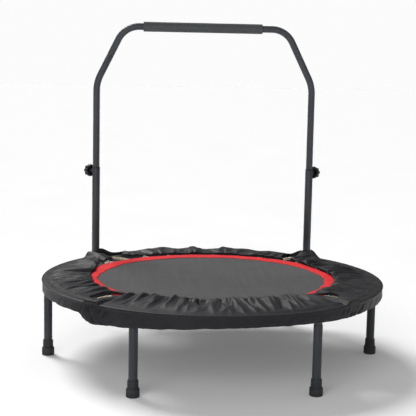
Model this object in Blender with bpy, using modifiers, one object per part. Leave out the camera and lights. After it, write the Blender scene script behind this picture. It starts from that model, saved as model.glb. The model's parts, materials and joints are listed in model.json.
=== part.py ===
"""A 40 inch folding mini trampoline with a height-adjustable handle.

Metres, +X right, +Y back, +Z up, origin on the floor under the middle of the ring.
Angles round the ring are measured from the front (-Y) towards the right (+X).
"""

import math

import bmesh
import bpy
from mathutils import Matrix, Vector

# ---------------------------------------------------------------- driving dimensions
GAP = 0.0003  # left between pieces that touch

RING_R = 0.4955  # middle of the ring tube
RING_Z = 0.2205
TUBE_R = 0.0125  # ring and leg tube
WALL = 0.0012
JOINT_ANGLES = (-45, 45, 135, 225)  # where the ring's four arcs are hinged together
ARCS = ("front", "right", "back", "left")  # ARCS[k] runs from JOINT_ANGLES[k] for 90 degrees
FOLD_ANGLE = -45  # the ring folds about the line through the joints at -45 and 135 degrees
PIN_Z = 0.240  # the fold axis lies in the plane of the mat's upper face
JOINT_GAP = 0.0016  # between the butt ends of two arcs
PIN_R = 0.0025
PIN_SLACK = 0.00018  # round the pin, in its holes
PIN_HEAD_R, PIN_HEAD = 0.0042, 0.0015

LEGS = {"front_left": -30, "front_right": 30, "right": 90, "back_right": 150, "back_left": 210, "left": 270}
BOSS_R = 0.011  # threaded boss under the ring, one for each leg
BOSS_BOTTOM = 0.1980
STUD_R = 0.005
STUD_TOP = 0.214
LEG_CAP = 0.006  # thickness of the leg's closed top
FOOT_R = 0.0185
FOOT_COLLAR_R = 0.0150
FOOT_STEP_Z = 0.0235
FOOT_TOP_Z = 0.0470
FOOT_FLOOR = 0.0080  # rubber under the leg tube
FOOT_SLACK = 0.0006  # between the leg tube and the socket's wall

POST_X = 0.3590
POST_Y = 0.3960
POST_R = 0.0127  # lower, outer tube of the handle
POST_BOTTOM = 0.196
POST_TOP = 0.5285
BUSH_TOP = 0.5335
UPRIGHT_R = 0.0111  # upper, sliding tube
UPRIGHT_BOTTOM = 0.2252
BEND_Z = 0.813  # the uprights lean in from here
SEAM_Z = 0.902  # the top tube plugs into the uprights here
PLUG_R = 0.0094
PLUG = 0.030  # length of the plug
SHOULDER = 0.0004  # the step from the plug to the full tube
BAR_Z = 0.9975
BAR_HALF = 0.2674  # half the distance between the bar's bends
LOWER_BEND_R = 0.120
UPPER_BEND_R = 0.076
GRIP_R = 0.0160
GRIP_FROM, GRIP_TO = -0.207, 0.187
KNOB_Z = 0.5195
KNOB_R = 0.0192
KNOB_LOBE = 0.0013
KNOB_NEAR, KNOB_FAR = 0.0235, 0.0410  # from the post's axis
KNOB_LOBES = 8
KNOB_HUB_R, KNOB_RIM_IN = 0.0070, 0.0160  # the knob is hollow between these
KNOB_BACK = 0.0345  # the hollow's end, from the post's axis
KNOB_BORE_END = 0.0350
KNOB_BOSS_R, KNOB_BOSS_END = 0.0075, 0.0190  # threaded boss on the post
BOLT_R = 0.0040
BOLT_TIP_R = 0.0028
BOLT_HEAD_R, BOLT_HEAD = 0.0075, 0.0045
NUT_R, NUT = 0.0070, 0.0060
BOLT_END = 0.0100  # how far a bolt stands out past the ring
BUSH_SLACK = 0.0002  # between the sliding tube and its guide
SADDLE_FROM, SADDLE_TO = 0.0070, 0.0360  # from the post's axis towards the ring's centre
SADDLE_WIDE, SADDLE_TALL = 0.0166, 0.0244

MAT_R = 0.3520
BAND_R = 0.3920
MAT_THICK = 0.0030
COVER_IN = 0.3935
COVER_OUT = 0.5125
COVER_THICK = 0.0030
COVER_BOTTOM = 0.1990
COVER_CORNER = 0.0070  # where the cover turns down over the ring
SPRINGS_PER_ARC = 8
SPRING_R = 0.0040
SPRING_Z = 0.2312
SPRING_IN, SPRING_OUT = 0.4015, 0.4835
EDGE_WIRE_R = 0.0015

SEAT = 0.0009  # between the ring and what sits on it: the ring is drawn in straight stretches
THROUGH = 0.070  # half the length of a cutter that goes right through

ROUND = 16  # sides of the larger round pieces
ARC_STEPS = 16  # segments in each quarter of the ring


# ---------------------------------------------------------------- helpers
def clear_scene():
    for obj in list(bpy.data.objects):
        bpy.data.objects.remove(obj, do_unlink=True)


def new_collection(name):
    collection = bpy.data.collections.new(name)
    bpy.context.scene.collection.children.link(collection)
    return collection


clear_scene()
PARTS = new_collection("mini_trampoline")
CUTTERS = new_collection("cutters")


def make_material(name, colour, roughness, metallic=0.0):
    material = bpy.data.materials.new(name)
    material.use_nodes = True
    shader = material.node_tree.nodes["Principled BSDF"]
    shader.inputs["Base Color"].default_value = (*colour, 1.0)
    shader.inputs["Roughness"].default_value = roughness
    shader.inputs["Metallic"].default_value = metallic
    material.diffuse_color = (*colour, 1.0)
    return material


LOOKS = {
    "powder_coat": ((0.038, 0.040, 0.043), 0.42, 0.0),
    "zinc": ((0.72, 0.55, 0.22), 0.35, 1.0),
    "steel": ((0.62, 0.62, 0.64), 0.30, 1.0),
    "rubber": ((0.022, 0.022, 0.024), 0.75, 0.0),
    "plastic": ((0.018, 0.018, 0.020), 0.45, 0.0),
    "foam": ((0.055, 0.056, 0.060), 0.90, 0.0),
    "cover_fabric": ((0.045, 0.045, 0.048), 0.70, 0.0),
    "mat_fabric": ((0.125, 0.125, 0.128), 0.80, 0.0),
    "band_fabric": ((0.75, 0.035, 0.045), 0.70, 0.0),
}


def add_object(name, mesh, look, smooth=35):
    """A finished sub-part: its own material, smooth where its faces meet gently."""
    obj = bpy.data.objects.new(name, mesh)
    PARTS.objects.link(obj)
    return dress(obj, look, smooth)


def dress(obj, look, smooth=35):
    obj.data.materials.clear()
    obj.data.materials.append(make_material(obj.name, *LOOKS[look]))
    if obj.type == "MESH" and smooth:
        obj.data.shade_smooth()
        obj.data.set_sharp_from_angle(angle=math.radians(smooth))
    return obj


def add_cutter(name, mesh):
    obj = bpy.data.objects.new(name, mesh)
    CUTTERS.objects.link(obj)
    obj.hide_render = True
    obj.display_type = "WIRE"
    return obj


def as_cutter(obj):
    """Take a shape out of the part: it only cuts or joins another."""
    PARTS.objects.unlink(obj)
    CUTTERS.objects.link(obj)
    obj.hide_render = True
    obj.display_type = "WIRE"


def mesh_from(bm, name):
    mesh = bpy.data.meshes.new(name)
    bm.to_mesh(mesh)
    bm.free()
    return mesh


def mesh_of_curve(curve, matrix=Matrix.Identity(4)):
    """Turn a curve object into a welded mesh, moved by a matrix, and remove the curve."""
    bpy.context.view_layer.update()
    graph = bpy.context.evaluated_depsgraph_get()
    mesh = bpy.data.meshes.new_from_object(curve.evaluated_get(graph))
    bpy.data.objects.remove(curve, do_unlink=True)
    bm = bmesh.new()
    bm.from_mesh(mesh)
    bmesh.ops.remove_doubles(bm, verts=bm.verts, dist=0.00001)
    bm.transform(matrix)
    bm.to_mesh(mesh)
    bm.free()
    return mesh


def boolean(obj, tool, operation="DIFFERENCE"):
    modifier = obj.modifiers.new(operation.lower(), "BOOLEAN")
    modifier.operation = operation
    modifier.solver = "EXACT"
    modifier.object = tool


def radial(angle, radius, z=0.0):
    a = math.radians(angle)
    return Vector((radius * math.sin(a), -radius * math.cos(a), z))


def at_ring(angle, radius=RING_R, z=0.0):
    """Frame on the ring: X along the tube, Y towards the centre, Z up."""
    return Matrix.Translation(radial(angle, radius, z)) @ Matrix.Rotation(math.radians(angle), 4, "Z")


def along(start, direction):
    """Frame whose Z axis points along a direction."""
    turn = Vector((0, 0, 1)).rotation_difference(Vector(direction)).to_matrix().to_4x4()
    return Matrix.Translation(Vector(start)) @ turn


def box(low, high, matrix=Matrix.Identity(4)):
    """A box between two corners, as a mesh."""
    bm = bmesh.new()
    bmesh.ops.create_cube(bm, size=1.0)
    low, high = Vector(low), Vector(high)
    scale = Matrix.Diagonal((*(high - low), 1.0))
    bm.transform(matrix @ Matrix.Translation((low + high) / 2) @ scale)
    return mesh_from(bm, "box")


def cylinder(radius, z_low, z_high, matrix=Matrix.Identity(4), sides=ROUND):
    """A solid cylinder along the frame's Z axis, as a mesh."""
    bm = bmesh.new()
    bmesh.ops.create_cone(
        bm, cap_ends=True, segments=sides, radius1=radius, radius2=radius, depth=z_high - z_low)
    bm.transform(matrix @ Matrix.Translation((0, 0, (z_low + z_high) / 2)))
    return mesh_from(bm, "cylinder")


def turned(name, profile, look, matrix=Matrix.Identity(4), sides=ROUND):
    """A turned piece: the profile of (radius, height) runs down its outer side.

    It starts and ends on the axis, or else it is closed into a ring.
    """
    mesh = bpy.data.meshes.new(name)
    edges = [(i, i + 1) for i in range(len(profile) - 1)]
    if profile[0][0] > 0:
        edges.append((len(profile) - 1, 0))
    mesh.from_pydata([(r, 0, z) for r, z in profile], edges, [])
    obj = bpy.data.objects.new(name, mesh)
    PARTS.objects.link(obj)
    obj.matrix_world = matrix
    screw = obj.modifiers.new("turn", "SCREW")
    screw.steps = screw.render_steps = sides
    screw.use_merge_vertices = True
    screw.merge_threshold = 0.00001
    screw.use_smooth_shade = True
    return dress(obj, look)


def tube_curve(name, points, radius, sides=ROUND, scales=None):
    """An open tube surface that follows the points, as a curve object."""
    data = bpy.data.curves.new(name, "CURVE")
    data.dimensions = "3D"
    data.bevel_depth = radius
    data.bevel_resolution = (sides - 4) // 2
    data.use_fill_caps = False
    spline = data.splines.new("POLY")
    spline.points.add(len(points) - 1)
    for i, point in enumerate(points):
        spline.points[i].co = (*point, 1.0)
        spline.points[i].radius = scales[i] if scales else 1.0
    obj = bpy.data.objects.new(name, data)
    PARTS.objects.link(obj)
    return obj


def hollow_tube(name, points, radius, look, sides=ROUND, scales=None):
    """A tube with a real wall, made a mesh so that it can be cut and joined."""
    curve = tube_curve(name, points, radius, sides, scales)
    shell = curve.modifiers.new("wall", "SOLIDIFY")
    shell.thickness = WALL
    shell.offset = -1.0
    return add_object(name, mesh_of_curve(curve), look)


def flat_shape(name, outline, thickness, matrix, look):
    """A flat outline as a 2D curve, extruded to a thickness about the frame's XY plane."""
    curve = bpy.data.curves.new(name, "CURVE")
    curve.dimensions = "2D"
    curve.fill_mode = "BOTH"
    curve.extrude = thickness / 2
    spline = curve.splines.new("POLY")
    spline.points.add(len(outline) - 1)
    for point, place in zip(spline.points, outline):
        point.co = (place[0], place[1], 0, 1)
    spline.use_cyclic_u = True
    source = bpy.data.objects.new(name, curve)
    PARTS.objects.link(source)
    return add_object(name, mesh_of_curve(source, matrix), look)


def arc_points(angle_from, angle_to, radius, z, steps):
    return [radial(angle_from + (angle_to - angle_from) * i / steps, radius, z) for i in range(steps + 1)]


def swept_section(name, section, angle_from, angle_to, steps, look):
    """A solid of one (radius, height) section swept round part of the ring."""
    bm = bmesh.new()
    start = radial(angle_from, 1.0)
    verts = [bm.verts.new((start.x * r, start.y * r, z)) for r, z in section]
    face = bm.faces.new(verts)
    bmesh.ops.spin(
        bm, geom=[face, *face.edges, *verts], cent=(0, 0, 0), axis=(0, 0, 1), dvec=(0, 0, 0),
        angle=math.radians(angle_to - angle_from), steps=steps)
    bmesh.ops.recalc_face_normals(bm, faces=bm.faces)
    return add_object(name, mesh_from(bm, name), look)


def rounded_path(corners, radii, step_degrees=13.0):
    """A polyline through the corners, each inner corner rounded to its own radius."""
    points = [Vector(corners[0])]
    for i in range(1, len(corners) - 1):
        here = Vector(corners[i])
        back = (Vector(corners[i - 1]) - here).normalized()
        ahead = (Vector(corners[i + 1]) - here).normalized()
        turn = math.pi - back.angle(ahead)
        reach = radii[i - 1] * math.tan(turn / 2)
        centre = here + (back + ahead).normalized() * math.hypot(reach, radii[i - 1])
        first = here + back * reach - centre
        axis = (-back).cross(ahead).normalized()
        steps = max(2, round(math.degrees(turn) / step_degrees))
        for k in range(steps + 1):
            points.append(centre + Matrix.Rotation(turn * k / steps, 3, axis) @ first)
    points.append(Vector(corners[-1]))
    return points


# ---------------------------------------------------------------- ring
def post_angle(side):
    return side * math.degrees(math.atan2(POST_X, -POST_Y))


def bolt_frame(side):
    """Frame on a post's axis at the ring's height, Z pointing away from the centre."""
    return along((side * POST_X, POST_Y, RING_Z), radial(post_angle(side), 1.0))


def legs_under(start):
    """The legs that stand under the arc that begins at an angle."""
    return {leg: angle for leg, angle in LEGS.items() if start < angle < start + 90}


def make_ring_arcs():
    """Four quarters of the tube ring with their leg bosses, butting at the hinges."""
    half_gap = math.degrees(JOINT_GAP / 2 / RING_R)
    for arc, start in zip(ARCS, JOINT_ANGLES):
        points = arc_points(start + half_gap, start + 90 - half_gap, RING_R, RING_Z, ARC_STEPS)
        tube = hollow_tube(f"ring_arc_{arc}", points, TUBE_R, "powder_coat", sides=12)
        for leg, angle in legs_under(start).items():
            place = Matrix.Translation(radial(angle, RING_R))
            boss = cylinder(BOSS_R, BOSS_BOTTOM, RING_Z - TUBE_R + 0.003, place)
            boolean(tube, add_cutter(f"boss_{leg}", boss), "UNION")
            bore = cylinder(STUD_R + GAP, BOSS_BOTTOM - 0.01, RING_Z, place, sides=12)
            boolean(tube, add_cutter(f"bore_{leg}", bore))
        if arc == "back":
            for side in (-1, 1):
                hole = cylinder(BOLT_R + GAP, -THROUGH, THROUGH, bolt_frame(side), sides=12)
                boolean(tube, add_cutter(f"ring_bolt_hole_{side}", hole))


# ---------------------------------------------------------------- hinges
HINGE_NEAR, HINGE_FAR = 0.0020, 0.0150  # base of a bracket, along the tube from the joint
HINGE_WIDE = 0.0148
HINGE_TOP = PIN_Z - 0.0008
KNUCKLE_R = 0.0050
KNUCKLE_CLEAR = 0.0056
KNUCKLE_REACH = 0.0100
TONGUE_THICK = 0.0090
EAR_THICK, EAR_MIDDLE = 0.0030, 0.0065


def knuckle_outline():
    """A plate round the pin with an arm back to the bracket's base, from its lowest point."""
    drop = 0.0011
    last = math.pi - math.asin(drop / KNUCKLE_R)
    turns = [-math.pi / 2 - (math.pi / 2 + last) * i / 10 for i in range(11)]
    rim = [(KNUCKLE_R * math.cos(a), KNUCKLE_R * math.sin(a)) for a in turns]
    return rim + [(KNUCKLE_REACH, -drop), (KNUCKLE_REACH, -KNUCKLE_R)]


def upright_frame(direction, offset):
    """In a joint's frame: X along the tube to one side, Y up from the pin, Z along the pin."""
    rows = ((direction, 0, 0, 0), (0, 0, -direction, offset), (0, 1, 0, PIN_Z), (0, 0, 0, 1))
    return Matrix(rows)


def make_hinge_bracket(name, angle, direction, thickness, plates):
    """A saddle on one tube end, with plates that reach the pin over the joint."""
    frame = at_ring(angle)
    near, far = sorted((direction * HINGE_NEAR, direction * HINGE_FAR))
    bracket = add_object(
        name, box((near, -HINGE_WIDE, RING_Z), (far, HINGE_WIDE, HINGE_TOP), frame), "zinc", smooth=0)
    boolean(bracket, RING_CUTTER)
    across = along((0, 0, PIN_Z), (0, 1, 0))
    clear = cylinder(KNUCKLE_CLEAR, -THROUGH, THROUGH, frame @ across)
    boolean(bracket, add_cutter(f"{name}_clear", clear))
    for k, middle in enumerate(plates):
        plate = flat_shape(f"{name}_plate_{k}", knuckle_outline(), thickness, Matrix.Identity(4), "zinc")
        plate.data.transform(frame @ upright_frame(direction, middle))
        as_cutter(plate)
        boolean(bracket, plate, "UNION")
    hole = cylinder(PIN_R + PIN_SLACK, -THROUGH, THROUGH, frame @ across, sides=12)
    boolean(bracket, add_cutter(f"{name}_hole", hole))


def make_hinge_pin(name, angle):
    """A headed pin along the ring's radius."""
    frame = at_ring(angle) @ along((0, 0, PIN_Z), (0, 1, 0))
    end = EAR_MIDDLE + EAR_THICK / 2 + GAP
    tip = end + PIN_HEAD
    profile = [(0, tip), (PIN_HEAD_R, tip), (PIN_HEAD_R, end), (PIN_R, end),
               (PIN_R, -end), (PIN_HEAD_R, -end), (PIN_HEAD_R, -tip), (0, -tip)]
    turned(name, profile, "zinc", frame, sides=12)


def make_hinges():
    for k, angle in enumerate(JOINT_ANGLES):
        starts, ends = ARCS[k], ARCS[k - 1]
        make_hinge_bracket(f"hinge_clevis_{starts}", angle, 1, EAR_THICK, (-EAR_MIDDLE, EAR_MIDDLE))
        make_hinge_bracket(f"hinge_tongue_{ends}", angle, -1, TONGUE_THICK, (0.0,))
        make_hinge_pin(f"hinge_pin_{starts}", angle)


# ---------------------------------------------------------------- legs
def make_leg(leg, angle):
    """A leg tube, closed at the top by the stud that screws into the ring's boss."""
    top = BOSS_BOTTOM - GAP
    inner = TUBE_R - WALL
    profile = [(0, STUD_TOP), (STUD_R, STUD_TOP), (STUD_R, top), (TUBE_R, top), (TUBE_R, FOOT_FLOOR + GAP),
               (inner, FOOT_FLOOR + GAP), (inner, top - LEG_CAP), (0, top - LEG_CAP)]
    turned(f"leg_{leg}", profile, "powder_coat", Matrix.Translation(radial(angle, RING_R)))


def make_foot(leg, angle):
    """A two-step rubber foot with a socket for the leg tube."""
    socket = TUBE_R + FOOT_SLACK
    profile = [(FOOT_COLLAR_R - 0.0004, FOOT_TOP_Z), (FOOT_COLLAR_R, FOOT_STEP_Z + 0.001),
               (FOOT_R - 0.0010, FOOT_STEP_Z), (FOOT_R, FOOT_STEP_Z - 0.002), (FOOT_R - 0.0003, 0.0015),
               (FOOT_R - 0.0018, 0.0), (0, 0.0)]
    hollow = [(0, FOOT_FLOOR), (socket, FOOT_FLOOR), (socket, FOOT_TOP_Z)]
    turned(f"foot_{leg}", hollow + profile, "rubber", Matrix.Translation(radial(angle, RING_R)))


def make_legs():
    for leg, angle in LEGS.items():
        make_leg(leg, angle)
        make_foot(leg, angle)


# ---------------------------------------------------------------- handle
def on_slant(z, side):
    """The point of the slanting stretch at one height."""
    part = (z - BEND_Z) / (BAR_Z - BEND_Z)
    return Vector((side * (POST_X + (BAR_HALF - POST_X) * part), POST_Y, z))


def make_handle_top():
    """The bar with both its bends; its thinner ends plug into the uprights."""
    scale = PLUG_R / UPRIGHT_R
    seam = on_slant(SEAM_Z, 1)
    slant = (on_slant(BAR_Z, 1) - seam).normalized()
    corners = [seam, (BAR_HALF, POST_Y, BAR_Z), (-BAR_HALF, POST_Y, BAR_Z), on_slant(SEAM_Z, -1)]
    middle = rounded_path(corners, (UPPER_BEND_R, UPPER_BEND_R))
    left = Vector((-slant.x, slant.y, slant.z))
    start = [seam - slant * PLUG, seam, seam + slant * SHOULDER]
    end = [middle[-1] + left * SHOULDER, middle[-1], middle[-1] - left * PLUG]
    scales = [scale, scale] + [1.0] * len(middle) + [scale, scale]
    hollow_tube("handle_top", start + middle[1:-1] + end, UPRIGHT_R, "powder_coat", scales=scales)


def make_upright(side, label):
    """A sliding tube with the lower bend, up to the seam under the top tube."""
    corners = [(side * POST_X, POST_Y, UPRIGHT_BOTTOM), (side * POST_X, POST_Y, BEND_Z),
               on_slant(SEAM_Z - GAP, side)]
    hollow_tube(f"handle_upright_{label}", rounded_path(corners, (LOWER_BEND_R,)), UPRIGHT_R, "powder_coat")


def make_grip():
    """A foam sleeve on the bar."""
    bore, half = UPRIGHT_R + GAP, (GRIP_TO - GRIP_FROM) / 2
    profile = [(bore, half), (GRIP_R - 0.001, half), (GRIP_R, half - 0.001),
               (GRIP_R, 0.001 - half), (GRIP_R - 0.001, -half), (bore, -half)]
    middle = ((GRIP_FROM + GRIP_TO) / 2, POST_Y, BAR_Z)
    turned("handle_grip", profile, "foam", along(middle, (1, 0, 0)))


def make_post(side, label):
    """The lower tube, with the threaded boss for the clamp knob and the holes for its bolts."""
    foot = (side * POST_X, POST_Y, POST_BOTTOM)
    post = hollow_tube(f"handle_post_{label}", [foot, (foot[0], foot[1], POST_TOP)], POST_R, "powder_coat")
    hole = cylinder(BOLT_R + GAP, -THROUGH, THROUGH, bolt_frame(side), sides=12)
    boolean(post, add_cutter(f"post_bolt_hole_{label}", hole))
    knob = knob_frame(side)
    boss = cylinder(KNOB_BOSS_R, POST_R - 0.0010, KNOB_BOSS_END, knob, sides=12)
    boolean(post, add_cutter(f"post_boss_{label}", boss), "UNION")
    thread = cylinder(BOLT_R + GAP, POST_R / 2, THROUGH, knob, sides=12)
    boolean(post, add_cutter(f"post_thread_{label}", thread))


def make_bushing(side, label):
    """The plastic guide on top of the lower tube."""
    bore = UPRIGHT_R + BUSH_SLACK
    low, high = POST_TOP + GAP, BUSH_TOP
    profile = [(bore, high), (POST_R - 0.0008, high), (POST_R, high - 0.0008), (POST_R, low), (bore, low)]
    turned(f"guide_bushing_{label}", profile, "plastic", Matrix.Translation((side * POST_X, POST_Y, 0)))


def make_saddle(side, label):
    """The spacer between the ring and a post, hollowed to fit both."""
    frame = at_ring(post_angle(side), math.hypot(POST_X, POST_Y), RING_Z)
    wide, tall = SADDLE_WIDE / 2, SADDLE_TALL / 2
    block = box((-wide, SADDLE_FROM, -tall), (wide, SADDLE_TO, tall), frame)
    saddle = add_object(f"post_saddle_{label}", block, "plastic", smooth=0)
    boolean(saddle, RING_CUTTER)
    post = cylinder(POST_R + GAP, -THROUGH, THROUGH, frame)
    boolean(saddle, add_cutter(f"saddle_post_{label}", post))
    hole = cylinder(BOLT_R + GAP, -THROUGH, THROUGH, bolt_frame(side), sides=12)
    boolean(saddle, add_cutter(f"saddle_hole_{label}", hole))


def make_saddle_bolt(side, label):
    """A bolt through post, saddle and ring, with its round head outside and its nut inside."""
    outer = POST_R + GAP
    inner = RING_R - math.hypot(POST_X, POST_Y) - TUBE_R - SEAT
    crown = [(0, outer + BOLT_HEAD), (0.0050, outer + 0.0040), (BOLT_HEAD_R, outer + 0.0015)]
    profile = [(BOLT_HEAD_R, outer), (BOLT_R, outer), (BOLT_R, inner), (NUT_R, inner), (NUT_R, inner - NUT),
               (BOLT_R, inner - NUT), (BOLT_R, inner - BOLT_END), (0, inner - BOLT_END)]
    turned(f"saddle_bolt_{label}", crown + profile, "steel", bolt_frame(side), sides=12)


def knob_frame(side):
    """Frame on a post's axis at the knob's height, Z pointing away from the centre."""
    return along((side * POST_X, POST_Y, KNOB_Z), radial(post_angle(side), 1.0))


def make_knob(side, label):
    """A lobed clamp knob, hollow on the side towards the post round a central hub."""
    count = 32
    outline = []
    for i in range(count):
        a = 2 * math.pi * i / count
        r = KNOB_R + KNOB_LOBE * math.cos(KNOB_LOBES * a)
        outline.append((r * math.cos(a), r * math.sin(a)))
    middle = knob_frame(side) @ Matrix.Translation((0, 0, (KNOB_NEAR + KNOB_FAR) / 2))
    knob = flat_shape(f"clamp_knob_{label}", outline, KNOB_FAR - KNOB_NEAR, middle, "plastic")
    low = KNOB_NEAR - 0.002
    ring_profile = [(KNOB_HUB_R, KNOB_BACK), (KNOB_RIM_IN, KNOB_BACK), (KNOB_RIM_IN, low), (KNOB_HUB_R, low)]
    recess = turned(f"knob_recess_{label}", ring_profile, "plastic", knob_frame(side))
    as_cutter(recess)
    boolean(knob, recess)
    bore = cylinder(BOLT_R + GAP, low, KNOB_BORE_END, knob_frame(side), sides=12)
    boolean(knob, add_cutter(f"knob_bore_{label}", bore))


def make_knob_bolt(side, label):
    """The knob's bolt; its tip presses on the sliding tube."""
    end, tip = KNOB_BORE_END - GAP, UPRIGHT_R + GAP
    profile = [(0, end), (BOLT_R, end), (BOLT_R, UPRIGHT_R + 0.0010), (BOLT_TIP_R, tip), (0, tip)]
    turned(f"knob_bolt_{label}", profile, "steel", knob_frame(side), sides=12)


def make_handle():
    make_handle_top()
    make_grip()
    for side, label in ((-1, "left"), (1, "right")):
        make_upright(side, label)
        make_post(side, label)
        make_bushing(side, label)
        make_saddle(side, label)
        make_saddle_bolt(side, label)
        make_knob(side, label)
        make_knob_bolt(side, label)


# ---------------------------------------------------------------- mat, cover, springs
def half_outline(start, inner, outer, steps=30):
    """Half a disc, or half a ring, on one side of the fold line and clear of it."""
    slip = math.degrees(math.asin(GAP / outer))
    rim = [radial(start + slip + (180 - 2 * slip) * i / steps, outer) for i in range(steps + 1)]
    if inner == 0:
        return rim
    slip = math.degrees(math.asin(GAP / inner))
    back = [radial(start + slip + (180 - 2 * slip) * i / steps, inner) for i in range(steps, -1, -1)]
    return rim + back


def make_mat():
    """The jumping mat and its coloured edge band, in halves that meet at the fold line."""
    middle = Matrix.Translation((0, 0, PIN_Z - GAP - MAT_THICK / 2))
    for half, start in (("front", FOLD_ANGLE), ("rear", FOLD_ANGLE + 180)):
        flat_shape(f"mat_{half}", half_outline(start, 0, MAT_R), MAT_THICK, middle, "mat_fabric")
        band = half_outline(start, MAT_R + GAP, BAND_R)
        flat_shape(f"mat_band_{half}", band, MAT_THICK, middle, "band_fabric")


COVER_SPANS = {"front": (-43, 43), "right": (47, 133), "back": (139.5, 220.5), "left": (227, 313)}


def make_covers():
    """The skirted spring cover: flat over the springs, rounded over the ring, down its outer side."""
    top, under = PIN_Z - 0.0005, PIN_Z - 0.0005 - COVER_THICK
    inside = COVER_OUT - COVER_THICK
    section = [(COVER_IN, top), (COVER_OUT - COVER_CORNER, top), (COVER_OUT - 0.002, top - 0.002),
               (COVER_OUT, top - COVER_CORNER), (COVER_OUT, COVER_BOTTOM), (inside, COVER_BOTTOM),
               (inside, under - 0.004), (inside - 0.002, under), (COVER_IN, under)]
    for arc, (start, end) in COVER_SPANS.items():
        swept_section(f"cover_{arc}", section, start, end, ARC_STEPS, "cover_fabric")


def make_spring_sets():
    """The springs of each arc, plain rods here, joined by the wire in the mat's edge."""
    pitch = 90 / SPRINGS_PER_ARC
    for arc, start in zip(ARCS, JOINT_ANGLES):
        first, last = start + pitch / 2, start + 90 - pitch / 2
        points = arc_points(first, last, SPRING_IN, SPRING_Z, SPRINGS_PER_ARC - 1)
        wire = tube_curve(f"springs_{arc}", points, EDGE_WIRE_R, sides=6)
        wire.data.use_fill_caps = True
        springs = add_object(f"springs_{arc}", mesh_of_curve(wire), "zinc")
        for k in range(SPRINGS_PER_ARC):
            angle = first + pitch * k
            frame = along(radial(angle, 0, SPRING_Z), radial(angle, 1.0))
            rod = cylinder(SPRING_R, SPRING_IN, SPRING_OUT, frame, sides=6)
            boolean(springs, add_cutter(f"spring_{arc}_{k}", rod), "UNION")


def make_ring_cutter():
    """The whole ring, a little fatter, which hollows whatever sits on the tube."""
    bpy.ops.mesh.primitive_torus_add(
        major_radius=RING_R, minor_radius=TUBE_R + SEAT, major_segments=144, minor_segments=24,
        location=(0, 0, RING_Z))
    torus = bpy.context.object
    mesh = torus.data.copy()
    mesh.transform(Matrix.Translation((0, 0, RING_Z)))
    bpy.data.objects.remove(torus, do_unlink=True)
    return add_cutter("ring_cutter", mesh)


RING_CUTTER = make_ring_cutter()
make_ring_arcs()
make_hinges()
make_legs()
make_handle()
make_mat()
make_covers()
make_spring_sets()
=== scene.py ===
"""The looks of a folding mini trampoline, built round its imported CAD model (metres, +Z up)."""

import json
import math

import bmesh
import bpy
import numpy as np
from mathutils import Matrix, Vector, noise


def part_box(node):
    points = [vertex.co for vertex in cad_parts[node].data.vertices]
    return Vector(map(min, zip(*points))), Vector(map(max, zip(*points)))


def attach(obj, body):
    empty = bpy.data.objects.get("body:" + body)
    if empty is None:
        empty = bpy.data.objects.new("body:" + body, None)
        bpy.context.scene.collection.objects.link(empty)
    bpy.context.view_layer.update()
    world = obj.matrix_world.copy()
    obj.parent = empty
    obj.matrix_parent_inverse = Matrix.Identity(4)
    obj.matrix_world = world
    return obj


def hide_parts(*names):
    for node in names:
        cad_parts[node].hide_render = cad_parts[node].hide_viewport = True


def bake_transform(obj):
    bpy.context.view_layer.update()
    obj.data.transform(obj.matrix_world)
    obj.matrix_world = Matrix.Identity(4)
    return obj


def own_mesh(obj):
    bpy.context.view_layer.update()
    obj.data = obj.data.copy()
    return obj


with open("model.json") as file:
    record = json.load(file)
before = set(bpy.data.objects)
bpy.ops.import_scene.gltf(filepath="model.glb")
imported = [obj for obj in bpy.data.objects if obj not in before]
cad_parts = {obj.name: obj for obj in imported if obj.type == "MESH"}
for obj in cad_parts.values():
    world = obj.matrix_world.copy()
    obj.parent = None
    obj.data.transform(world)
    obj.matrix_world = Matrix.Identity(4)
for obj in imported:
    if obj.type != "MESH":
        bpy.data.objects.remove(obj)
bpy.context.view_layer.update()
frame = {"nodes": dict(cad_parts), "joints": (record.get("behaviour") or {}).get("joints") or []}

# ---------------- sizes, from the frame
JOINTS = {joint["name"]: joint for joint in frame["joints"]}
ARCS = {"front": -45, "right": 45, "back": 135, "left": 225}  # where each quarter of the ring starts
ARC_HALF = {"front": "front", "right": "front", "back": "rear", "left": "rear"}
ARC_BODY = {arc: f"{half}_frame" for arc, half in ARC_HALF.items()}
ARC_MAT = {arc: f"mat_half_{half}" for arc, half in ARC_HALF.items()}
LEGS = {"front_left": -30, "front_right": 30, "right": 90, "back_right": 150, "back_left": 210, "left": 270}
LEG_BODY = {leg: "front_frame" if angle < 135 else "rear_frame" for leg, angle in LEGS.items()}

leg_low, leg_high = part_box("leg_left")
foot_low, foot_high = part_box("foot_left")
TUBE_R = (leg_high.x - leg_low.x) / 2
RING_R = -(leg_high.x + leg_low.x) / 2
RING_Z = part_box("hinge_clevis_front")[0].z  # a clevis starts at the middle of the tube
FOLD_Z = JOINTS["fold"]["pos_m"][2]
FOOT_R = (foot_high.x - foot_low.x) / 2
FOOT_TOP = foot_high.z
COVER_R = -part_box("cover_front")[0].y
COVER_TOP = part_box("cover_front")[1].z
POST_X, POST_Y, KNOB_Z = (abs(v) for v in JOINTS["knob_right_turn"]["pos_m"])
POST_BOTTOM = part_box("handle_post_left")[0].z
POST_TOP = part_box("handle_post_left")[1].z
POST_R = (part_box("guide_bushing_left")[1].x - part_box("guide_bushing_left")[0].x) / 2
grip_low, grip_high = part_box("handle_grip")
BAR_Z = (grip_low.z + grip_high.z) / 2
GRIP_R = (grip_high.z - grip_low.z) / 2
UPRIGHT_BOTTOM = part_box("handle_upright_left")[0].z
UPRIGHT_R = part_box("handle_top")[1].z - BAR_Z
SLANT = 26.4  # how far the handle leans inwards above its lower bend, in degrees
SEAM_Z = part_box("handle_upright_left")[1].z - UPRIGHT_R * math.sin(math.radians(SLANT))
POST_ANGLE = math.degrees(math.atan2(POST_X, -POST_Y))
BEND_Z, BAR_HALF = 0.813, 0.2674  # the corners that the handle's bends round off
LOWER_BEND_R, UPPER_BEND_R = 0.120, 0.076
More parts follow.
